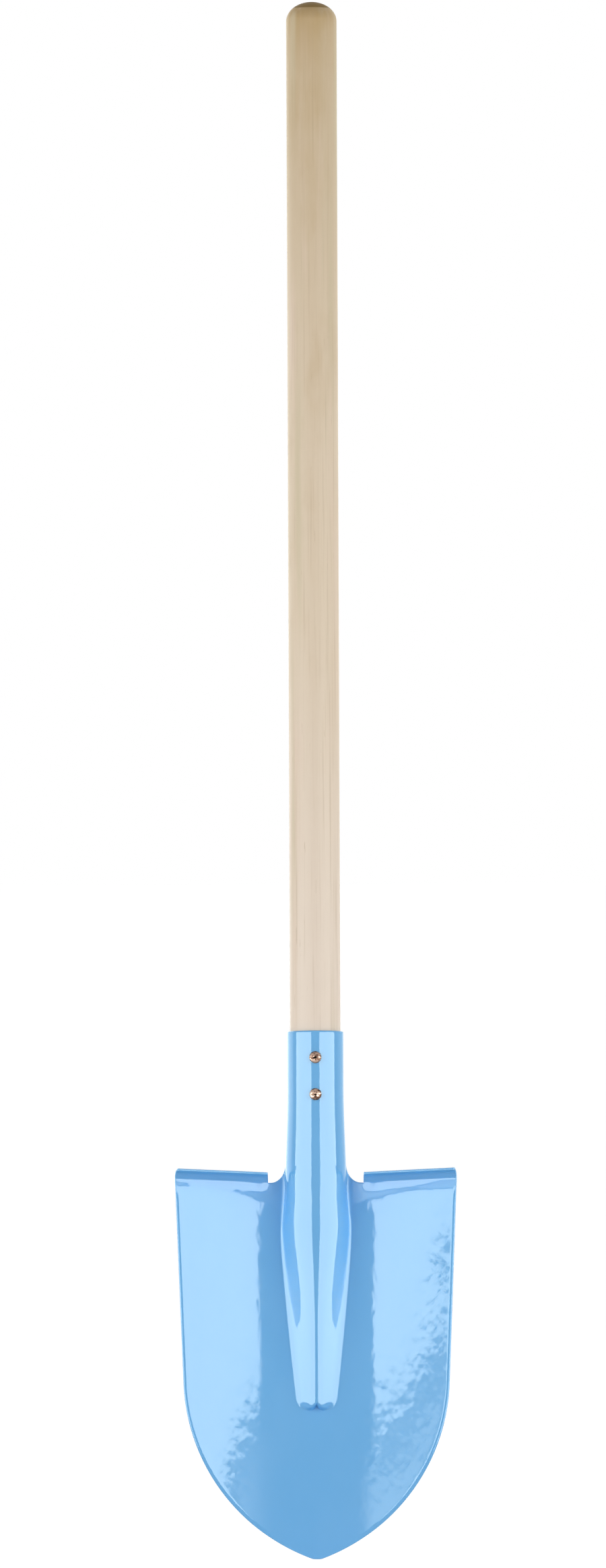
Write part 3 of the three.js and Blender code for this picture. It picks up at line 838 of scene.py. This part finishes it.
def turned_tree():
    tree = new_tree("Turned piece", ["Foot Height", "Foot Radius", "Foot Rise", "Stem Length",
                                     "Body Radius", "Step Rise", "Body Length", "Dome Height"])
    for count in ("Sides", "Rows"):
        tree.interface.new_socket(count, in_out="INPUT", socket_type="NodeSocketInt")
    given = add_node(tree, "NodeGroupInput").outputs
    grid = add_node(tree, "GeometryNodeMeshGrid",
                    {"Size X": 1.0, "Size Y": 1.0,
                     "Vertices X": calc(tree, "ADD", given["Sides"], 1),
                     "Vertices Y": calc(tree, "ADD", given["Rows"], 1)})
    across = add_node(tree, "ShaderNodeSeparateXYZ", {"Vector": grid.outputs["UV Map"]}).outputs
    done = {}
    for part, (start, end) in PROFILE_WINDOWS.items():
        window = add_node(tree, "ShaderNodeMapRange",
                          {"Value": across["Y"], "From Min": start, "From Max": end})
        done[part] = window.outputs["Result"]
    widening = calc(tree, "SUBTRACT", given["Body Radius"], given["Foot Radius"])
    radius = calc(tree, "MULTIPLY", given["Foot Radius"], done["foot"])
    radius = calc(tree, "MULTIPLY_ADD", widening, done["step"], radius)
    lean = calc(tree, "MULTIPLY", done["dome"], math.pi / 2)
    radius = calc(tree, "MULTIPLY", radius, calc(tree, "COSINE", lean))
    height = given["Foot Height"]
    for part, length in (("foot", "Foot Rise"), ("stem", "Stem Length"), ("step", "Step Rise"),
                         ("body", "Body Length")):
        height = calc(tree, "MULTIPLY_ADD", given[length], done[part], height)
    height = calc(tree, "MULTIPLY_ADD", given["Dome Height"], calc(tree, "SINE", lean), height)
    turn = calc(tree, "MULTIPLY", across["X"], 2 * math.pi)
    place = add_node(tree, "ShaderNodeCombineXYZ",
                     {"X": calc(tree, "MULTIPLY", radius, calc(tree, "COSINE", turn)),
                      "Y": calc(tree, "MULTIPLY", radius, calc(tree, "SINE", turn)), "Z": height})
    turned = add_node(tree, "GeometryNodeSetPosition",
                      {"Geometry": grid.outputs["Mesh"], "Position": place.outputs["Vector"]})
    welded = add_node(tree, "GeometryNodeMergeByDistance",
                      {"Geometry": turned.outputs["Geometry"], "Distance": 0.01 * MM})
    add_node(tree, "NodeGroupOutput", {"Geometry": welded.outputs["Geometry"]})
    return tree


turned = turned_tree()
print("tree:", turned.name, "with", len(turned.nodes), "nodes")

# %% Sharp edges stay sharp
def smooth_but_sharp(tree, geometry):
    """Shades faces smooth, apart from edges that turn by more than the sharp angle."""
    smooth = add_node(tree, "GeometryNodeSetShadeSmooth", {"Geometry": geometry, "Shade Smooth": True},
                      domain="FACE")
    angle = add_node(tree, "GeometryNodeInputMeshEdgeAngle").outputs["Unsigned Angle"]
    sharp = add_node(tree, "FunctionNodeCompare", {"A": angle, "B": SHARP_ANGLE},
                     data_type="FLOAT", operation="GREATER_THAN").outputs["Result"]
    creased = add_node(tree, "GeometryNodeSetShadeSmooth",
                       {"Geometry": smooth.outputs["Geometry"], "Selection": sharp,
                        "Shade Smooth": False}, domain="EDGE")
    return creased.outputs["Geometry"]


def close_tree(tree, geometry, given):
    """Ends a tree: real faces instead of instances, and the finish."""
    real = add_node(tree, "GeometryNodeRealizeInstances", {"Geometry": geometry})
    finished = add_node(tree, "GeometryNodeSetMaterial",
                        {"Geometry": real.outputs["Geometry"], "Material": given["Finish"]})
    add_node(tree, "NodeGroupOutput", {"Geometry": finished.outputs["Geometry"]})


def plain_mesh(name, tree, values):
    """Runs a tree on an empty object and keeps the result as a plain mesh."""
    holder = bpy.data.objects.new("holder", bpy.data.meshes.new("holder"))
    bpy.context.scene.collection.objects.link(holder)
    modifier = holder.modifiers.new("Rule", "NODES")
    modifier.node_group = tree
    for item in tree.interface.items_tree:
        if item.in_out == "INPUT":
            modifier[item.identifier] = values[item.name]
    evaluated = holder.evaluated_get(bpy.context.evaluated_depsgraph_get())
    mesh = bpy.data.meshes.new_from_object(evaluated)
    holder.modifiers.remove(modifier)
    bpy.data.objects.remove(holder)
    mesh.name = name
    return mesh


print("sharp above", round(math.degrees(SHARP_ANGLE)), "degrees")

# %% [markdown]
# ## The handle
# A straight rod with a domed top, and a short cone at the other end so that it drives into the socket. Its
# tree is the turned piece with edges kept sharp and the wood laid on. All its sizes come from the frame,
# apart from the dome and the cone, which the box of the solid doesn't tell.

# %% Handle
HANDLE_DOME = 10 * MM
HANDLE_END_TAPER = 14 * MM
HANDLE_END_RADIUS = 9.5 * MM


def handle_tree():
    tree = new_tree("Handle", [])
    for item in turned.interface.items_tree:
        if item.in_out == "INPUT":
            tree.interface.new_socket(item.name, in_out="INPUT", socket_type=item.socket_type)
    tree.interface.new_socket("Finish", in_out="INPUT", socket_type="NodeSocketMaterial")
    given = add_node(tree, "NodeGroupInput").outputs
    rod = add_node(tree, "GeometryNodeGroup", node_tree=turned)
    for socket in rod.inputs:
        tree.links.new(given[socket.name], socket)
    close_tree(tree, smooth_but_sharp(tree, rod.outputs["Geometry"]), given)
    return tree


handle_mesh = plain_mesh("turned_handle", handle_tree(), {
    "Foot Height": handle_low.z,
    "Foot Radius": HANDLE_END_RADIUS,
    "Foot Rise": 0.0,
    "Stem Length": 0.0,
    "Body Radius": handle_radius,
    "Step Rise": HANDLE_END_TAPER,
    "Body Length": handle_high.z - handle_low.z - HANDLE_END_TAPER - HANDLE_DOME,
    "Dome Height": HANDLE_DOME,
    "Sides": 128,
    "Rows": 80,
    "Finish": pale_wood,
})
turned_handle = hand_over("turned_handle", handle_mesh, "pale_wood", "handle")

# %% [markdown]
# ## The screws
# Two equal screws, so one is built and then placed at two points. The head is a low dome with a cross
# recess, cut out with two crossed blocks. The thread is a coil: a small three-sided section that follows a
# spiral round the shank. Each screw was driven home to its own angle, which a fixed seed chooses.

# %% Screws
screw_low, screw_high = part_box("upper_screw")
lower_low, lower_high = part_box("lower_screw")
SCREW_HEAD_HEIGHT = 2.3 * MM
SCREW_HEAD_EDGE = 0.5 * MM
SCREW_SHANK_RADIUS = 1.5 * MM
SCREW_POINT = 3.5 * MM
RECESS = (3.2 * MM, 0.8 * MM, 1.1 * MM)
THREAD_PITCH = 1.2 * MM
THREAD_HEIGHT = 0.3 * MM

screw_seat = screw_low.y + SCREW_HEAD_HEIGHT - axis_depth
screw_length = screw_high.y - axis_depth - screw_seat
screw_heights = [(low.z + high.z) / 2 for low, high in ((screw_low, screw_high), (lower_low, lower_high))]


def recess_blocks(tree, given):
    """Two crossed blocks at the top of the head."""
    size = add_node(tree, "ShaderNodeCombineXYZ",
                    {"X": given["Recess Length"], "Y": given["Recess Width"],
                     "Z": calc(tree, "MULTIPLY", given["Recess Depth"], 2.0)}).outputs["Vector"]
    block = add_node(tree, "GeometryNodeMeshCube", {"Size": size}).outputs["Mesh"]
    top = add_node(tree, "ShaderNodeCombineXYZ", {"Z": given["Head Height"]}).outputs["Vector"]
    return [
        add_node(tree, "GeometryNodeTransform",
                 {"Geometry": block, "Translation": top, "Rotation": (0, 0, turn)}).outputs["Geometry"]
        for turn in (0, math.pi / 2)
    ]


def thread(tree, given):
    """A coil round the shank, from above the point to below the head."""
    run = calc(tree, "SUBTRACT", given["Length"], calc(tree, "MULTIPLY", given["Point"], 1.5))
    coil = add_node(tree, "GeometryNodeCurveSpiral",
                    {"Resolution": 20, "Rotations": calc(tree, "DIVIDE", run, given["Thread Pitch"]),
                     "Start Radius": given["Shank Radius"], "End Radius": given["Shank Radius"],
                     "Height": run, "Reverse": False})
    section = add_node(tree, "GeometryNodeCurvePrimitiveCircle",
                       {"Resolution": 3, "Radius": given["Thread Height"]})
    ribbon = add_node(tree, "GeometryNodeCurveToMesh",
                      {"Curve": coil.outputs["Curve"], "Profile Curve": section.outputs["Curve"],
                       "Fill Caps": True})
    start = add_node(tree, "ShaderNodeCombineXYZ",
                     {"Z": calc(tree, "SUBTRACT", given["Point"], given["Length"])}).outputs["Vector"]
    return add_node(tree, "GeometryNodeTransform",
                    {"Geometry": ribbon.outputs["Mesh"], "Translation": start}).outputs["Geometry"]


def screw_tree():
    tree = new_tree("Wood screws", ["Length", "Point", "Shank Radius", "Head Radius", "Head Height",
                                    "Head Edge", "Recess Length", "Recess Width", "Recess Depth",
                                    "Thread Pitch", "Thread Height", "Seat", "Upper", "Spacing"])
    tree.interface.new_socket("Finish", in_out="INPUT", socket_type="NodeSocketMaterial")
    given = add_node(tree, "NodeGroupInput").outputs
    blank_screw = add_node(tree, "GeometryNodeGroup", node_tree=turned)
    stem = calc(tree, "SUBTRACT", given["Length"], given["Point"])
    sizes = {"Foot Height": calc(tree, "MULTIPLY", given["Length"], -1.0),
             "Foot Radius": given["Shank Radius"], "Foot Rise": given["Point"], "Stem Length": stem,
             "Body Radius": given["Head Radius"], "Step Rise": 0.0, "Body Length": given["Head Edge"],
             "Dome Height": calc(tree, "SUBTRACT", given["Head Height"], given["Head Edge"]),
             "Sides": 48, "Rows": 40}
    for name, value in sizes.items():
        fill(tree, blank_screw.inputs[name], value)
    cut = add_node(tree, "GeometryNodeMeshBoolean", operation="DIFFERENCE")
    tree.links.new(blank_screw.outputs["Geometry"], cut.inputs["Mesh 1"])
    for block in recess_blocks(tree, given):
        tree.links.new(block, cut.inputs["Mesh 2"])
    whole = add_node(tree, "GeometryNodeJoinGeometry")
    tree.links.new(thread(tree, given), whole.inputs["Geometry"])
    tree.links.new(smooth_but_sharp(tree, cut.outputs["Mesh"]), whole.inputs["Geometry"])
    first = add_node(tree, "ShaderNodeCombineXYZ", {"Y": given["Seat"], "Z": given["Upper"]})
    below = add_node(tree, "ShaderNodeCombineXYZ", {"Z": calc(tree, "MULTIPLY", given["Spacing"], -1.0)})
    places = add_node(tree, "GeometryNodeMeshLine",
                      {"Count": 2, "Start Location": first.outputs["Vector"],
                       "Offset": below.outputs["Vector"]})
    pair = add_node(tree, "GeometryNodeInstanceOnPoints",
                    {"Points": places.outputs["Mesh"], "Instance": whole.outputs["Geometry"],
                     "Rotation": (math.pi / 2, 0, 0)})
    driven = add_node(tree, "FunctionNodeRandomValue",
                      {"Min": (0, 0, 0), "Max": (0, 0, math.pi / 2), "Seed": 4}, data_type="FLOAT_VECTOR")
    turned_home = add_node(tree, "GeometryNodeRotateInstances",
                           {"Instances": pair.outputs["Instances"], "Rotation": driven.outputs["Value"],
                            "Local Space": True})
    close_tree(tree, turned_home.outputs["Instances"], given)
    return tree


screw_mesh = plain_mesh("wood_screws", screw_tree(), {
    "Length": screw_length,
    "Point": SCREW_POINT,
    "Shank Radius": SCREW_SHANK_RADIUS,
    "Head Radius": screw_high.x,
    "Head Height": SCREW_HEAD_HEIGHT,
    "Head Edge": SCREW_HEAD_EDGE,
    "Recess Length": RECESS[0],
    "Recess Width": RECESS[1],
    "Recess Depth": RECESS[2],
    "Thread Pitch": THREAD_PITCH,
    "Thread Height": THREAD_HEIGHT,
    "Seat": screw_seat,
    "Upper": screw_heights[0],
    "Spacing": screw_heights[0] - screw_heights[1],
    "Finish": screw_brass,
})
wood_screws = hand_over("wood_screws", screw_mesh, "screw_brass", "upper_screw", "lower_screw")

# %% [markdown]
# ## Floor and surroundings
# The spade stands in a plain white studio. Floor and world are white where the camera, a gloss or glass
# looks at them, through Light Path, and give only a moderate light to everything else, so the object isn't
# flooded. The floor keeps a little of the shadow, because part of its white is real, lit colour.

# %% Floor
FLOOR_HALF = 30.0
FLOOR_GLOW = 0.96
FLOOR_WHITE = (0.8, 0.8, 0.8, 1.0)
FLOOR_FAINT = (0.14, 0.14, 0.14, 1.0)


def seen_directly(tree):
    """1 for camera, glossy and transmission rays, 0 for the others."""
    path = add_node(tree, "ShaderNodeLightPath").outputs
    seen = calc(tree, "MAXIMUM", path["Is Camera Ray"], path["Is Glossy Ray"])
    return calc(tree, "MAXIMUM", seen, path["Is Transmission Ray"])


def floor_material():
    material = bpy.data.materials.new("studio_floor")
    material.use_nodes = True
    tree = material.node_tree
    tree.nodes.clear()
    lit = add_node(tree, "ShaderNodeBsdfDiffuse", {"Color": FLOOR_WHITE}).outputs["BSDF"]
    faint = add_node(tree, "ShaderNodeBsdfDiffuse", {"Color": FLOOR_FAINT}).outputs["BSDF"]
    glow = add_node(tree, "ShaderNodeEmission", {"Strength": FLOOR_GLOW}).outputs["Emission"]
    shown = add_node(tree, "ShaderNodeAddShader", {0: glow, 1: faint}).outputs["Shader"]
    chosen = add_node(tree, "ShaderNodeMixShader", {0: seen_directly(tree), 1: lit, 2: shown})
    add_node(tree, "ShaderNodeOutputMaterial", {"Surface": chosen.outputs["Shader"]})
    return material


def studio_floor():
    level = cad_low.z
    corners = [(-FLOOR_HALF, -FLOOR_HALF, level), (FLOOR_HALF, -FLOOR_HALF, level),
               (FLOOR_HALF, FLOOR_HALF, level), (-FLOOR_HALF, FLOOR_HALF, level)]
    mesh = bpy.data.meshes.new("studio_floor")
    mesh.from_pydata(corners, [], [(0, 1, 2, 3)])
    mesh.materials.append(floor_material())
    floor = bpy.data.objects.new("studio_floor", mesh)
    bpy.context.scene.collection.objects.link(floor)
    return floor


floor = studio_floor()
print("floor at", round(cad_low.z, 5))

# %% World
WORLD_LIGHT = 0.33


def studio_world():
    world = bpy.data.worlds.new("studio")
    world.use_nodes = True
    tree = world.node_tree
    tree.nodes.clear()
    fills = add_node(tree, "ShaderNodeBackground", {"Color": (1, 1, 1, 1), "Strength": WORLD_LIGHT})
    white = add_node(tree, "ShaderNodeBackground", {"Color": (1, 1, 1, 1), "Strength": 1.0})
    chosen = add_node(tree, "ShaderNodeMixShader",
                      {0: seen_directly(tree), 1: fills.outputs["Background"],
                       2: white.outputs["Background"]})
    add_node(tree, "ShaderNodeOutputWorld", {"Surface": chosen.outputs["Shader"]})
    bpy.context.scene.world = world
    return world


world = studio_world()
print("world light", WORLD_LIGHT)

# %% [markdown]
# ## Lamps
# Four plain softboxes, two in front and two behind, give an even light that shows colours about as they are
# written. Enamel also mirrors its surroundings, and there the shape of the lamps matters more than their
# light. So panels are added on both sides that only a gloss can see. A bright panel starts near the floor
# and rises as it goes away from the spade. The gap between the two is the dark band down the middle of the
# blade, and their upper edge ends the bright fields a hand's breadth above the tip. A dim panel above it
# gives the soft light near the tip, and a side panel gives the socket its pale rims.

# %% Softboxes
LAMP_SIZE = 1.2
LAMP_DISTANCE = 1.7
LAMP_HEIGHT = 0.65


def softbox(name, azimuth, radiance):
    """A square lamp that faces the spade. Azimuth 0 is in front, and positive is to the right."""
    lamp = bpy.data.lights.new(name, "AREA")
    lamp.shape = "SQUARE"
    lamp.size = LAMP_SIZE
    lamp.energy = radiance * math.pi * LAMP_SIZE**2
    holder = bpy.data.objects.new(name, lamp)
    turn = math.radians(azimuth)
    holder.location = (LAMP_DISTANCE * math.sin(turn), -LAMP_DISTANCE * math.cos(turn), LAMP_HEIGHT)
    holder.rotation_euler = (math.pi / 2, 0, turn)
    holder.visible_camera = False
    holder.visible_glossy = False
    bpy.context.scene.collection.objects.link(holder)
    return holder


for name, azimuth, radiance in (("left", -60, 3.3), ("right", 60, 3.3),
                                ("back_left", -160, 1.9), ("back_right", 160, 1.9)):
    softbox(name + "_softbox", azimuth, radiance)
print("lamps:", len(bpy.data.lights))

# %% Panels for the gloss
PANEL_GLOW = 8.4
PANEL_DIM = 4.4
PANEL_SOFT = 1
# Keys -1 and 1 are left and right. The edges are an azimuth and the width of the fade, in degrees.
PANEL_SIDES = {-1: 2.4, 1: 1.25}
DIM_EDGES = {-1: (12, 5), 1: (11, 18)}
DIM_AZIMUTHS = (8, 80)
DIM_GAP = 0.015
DIM_HEIGHT = 0.62
SIDE_AZIMUTHS = (98, 176)
SIDE_SOFT = 14
SIDE_HEIGHTS = (0.02, 1.3)
PANEL_TINT = (0.9, 1.0, 1.0, 1.0)
PANEL_NEAR = (0.42, 0.008)
PANEL_FAR = 1.4
PANEL_INNER = 16
PANEL_OUTER_NEAR = 90
PANEL_OUTER_FAR = 78
PANEL_STEPS = 24
# The upper edge of each bright panel: azimuth in degrees, height in metres.
LEFT_TOP = {16: 0.378, 25: 0.358, 34: 0.325, 43: 0.3, 50: 0.48, 78: 0.5}
RIGHT_TOP = {16: 0.366, 25: 0.376, 31: 0.395, 45: 0.41, 50: 0.48, 78: 0.5}


def panel_material(name, strength, inner, soft):
    """A glow that rises from plain white to its strength, from the panel's inner azimuth outwards."""
    material = bpy.data.materials.new(name)
    material.use_nodes = True
    tree = material.node_tree
    tree.nodes.clear()
    place = add_node(tree, "ShaderNodeTexCoord").outputs["Object"]
    axes = add_node(tree, "ShaderNodeSeparateXYZ", {"Vector": place}).outputs
    ahead = calc(tree, "MULTIPLY", axes["Y"], -1.0)
    azimuth = calc(tree, "ARCTAN2", calc(tree, "ABSOLUTE", axes["X"]), ahead)
    fade = remap(tree, azimuth, math.radians(inner), math.radians(inner + soft))
    glow = add_node(tree, "ShaderNodeEmission",
                    {"Strength": calc(tree, "MULTIPLY_ADD", fade, strength - 1.0, 1.0),
                     "Color": mix_colour(tree, fade, (1, 1, 1, 1), PANEL_TINT)})
    add_node(tree, "ShaderNodeOutputMaterial", {"Surface": glow.outputs["Emission"]})
    return material


def panel_point(side, tops, across, along):
    """A point of a panel: across from its inner to its outer edge, along from its near to its far edge."""
    outer = mix(PANEL_OUTER_NEAR, PANEL_OUTER_FAR, along)
    azimuth = mix(PANEL_INNER, outer, across)
    top = np.interp(azimuth, list(tops), list(tops.values()))
    distance = mix(PANEL_NEAR[0], PANEL_FAR, along)
    turn = side * math.radians(azimuth)
    return (distance * math.sin(turn), -distance * math.cos(turn), mix(PANEL_NEAR[1], top, along))


def dim_point(side, tops, across, along):
    """A point of the dim panel that stands upright above a bright one."""
    azimuth = mix(*DIM_AZIMUTHS, across)
    top = np.interp(azimuth, list(tops), list(tops.values()))
    turn = side * math.radians(azimuth)
    return (PANEL_FAR * math.sin(turn), -PANEL_FAR * math.cos(turn), mix(top + DIM_GAP, DIM_HEIGHT, along))


def side_point(side, tops, across, along):
    """A point of a panel towards the back. It stands level, so it takes nothing from the tops."""
    turn = side * math.radians(mix(*SIDE_AZIMUTHS, across))
    return (PANEL_FAR * math.sin(turn), -PANEL_FAR * math.cos(turn), mix(*SIDE_HEIGHTS, along))


def glow_panel(name, rule, side, tops, *glow):
    """A curved sheet that glows for glossy rays only."""
    steps = np.linspace(0, 1, PANEL_STEPS + 1)
    points = [rule(side, tops, across, along) for across in steps for along in steps]
    row = len(steps)
    quads = [(i * row + j, (i + 1) * row + j, (i + 1) * row + j + 1, i * row + j + 1)
             for i in range(PANEL_STEPS) for j in range(PANEL_STEPS)]
    mesh = bpy.data.meshes.new(name)
    mesh.from_pydata(points, [], quads)
    mesh.materials.append(panel_material(name, *glow))
    panel = bpy.data.objects.new(name, mesh)
    for ray in ("camera", "diffuse", "transmission", "volume_scatter", "shadow"):
        setattr(panel, "visible_" + ray, False)
    bpy.context.scene.collection.objects.link(panel)
    return panel


for name, side, tops in (("left", -1, LEFT_TOP), ("right", 1, RIGHT_TOP)):
    glow_panel(name + "_panel", panel_point, side, tops, PANEL_GLOW, PANEL_INNER, PANEL_SOFT)
    glow_panel(name + "_dim_panel", dim_point, side, tops, PANEL_DIM, *DIM_EDGES[side])
    glow_panel(name + "_side_panel", side_point, side, tops, PANEL_SIDES[side], SIDE_AZIMUTHS[0],
               SIDE_SOFT)
print("panels of strength", PANEL_GLOW, "and", PANEL_DIM)

# %% [markdown]
# ## Camera
# The picture looks at the spade from straight in front, from far enough away that the handle keeps its
# width. The spade fills the picture's height and stands a little right of its middle, and it leans by a
# fifth of a degree, which here is a small roll of the camera.

# %% Camera
CAMERA_DISTANCE = 4.5
VIEW_HEIGHT = 0.807
VIEW_CENTRE = (-0.0058, 0.3972)
CAMERA_ROLL = math.radians(0.22)


def photo_camera():
    data = bpy.data.cameras.new("camera")
    data.sensor_width = 36.0
    data.lens = data.sensor_width * CAMERA_DISTANCE / VIEW_HEIGHT
    camera = bpy.data.objects.new("camera", data)
    camera.location = (VIEW_CENTRE[0], -CAMERA_DISTANCE, VIEW_CENTRE[1])
    camera.rotation_euler = (math.pi / 2, CAMERA_ROLL, 0)
    bpy.context.scene.collection.objects.link(camera)
    bpy.context.scene.camera = camera
    return camera


camera = photo_camera()
bpy.context.scene.view_settings.view_transform = "Standard"
print("lens", round(camera.data.lens, 1), "for a view", VIEW_HEIGHT, "high")
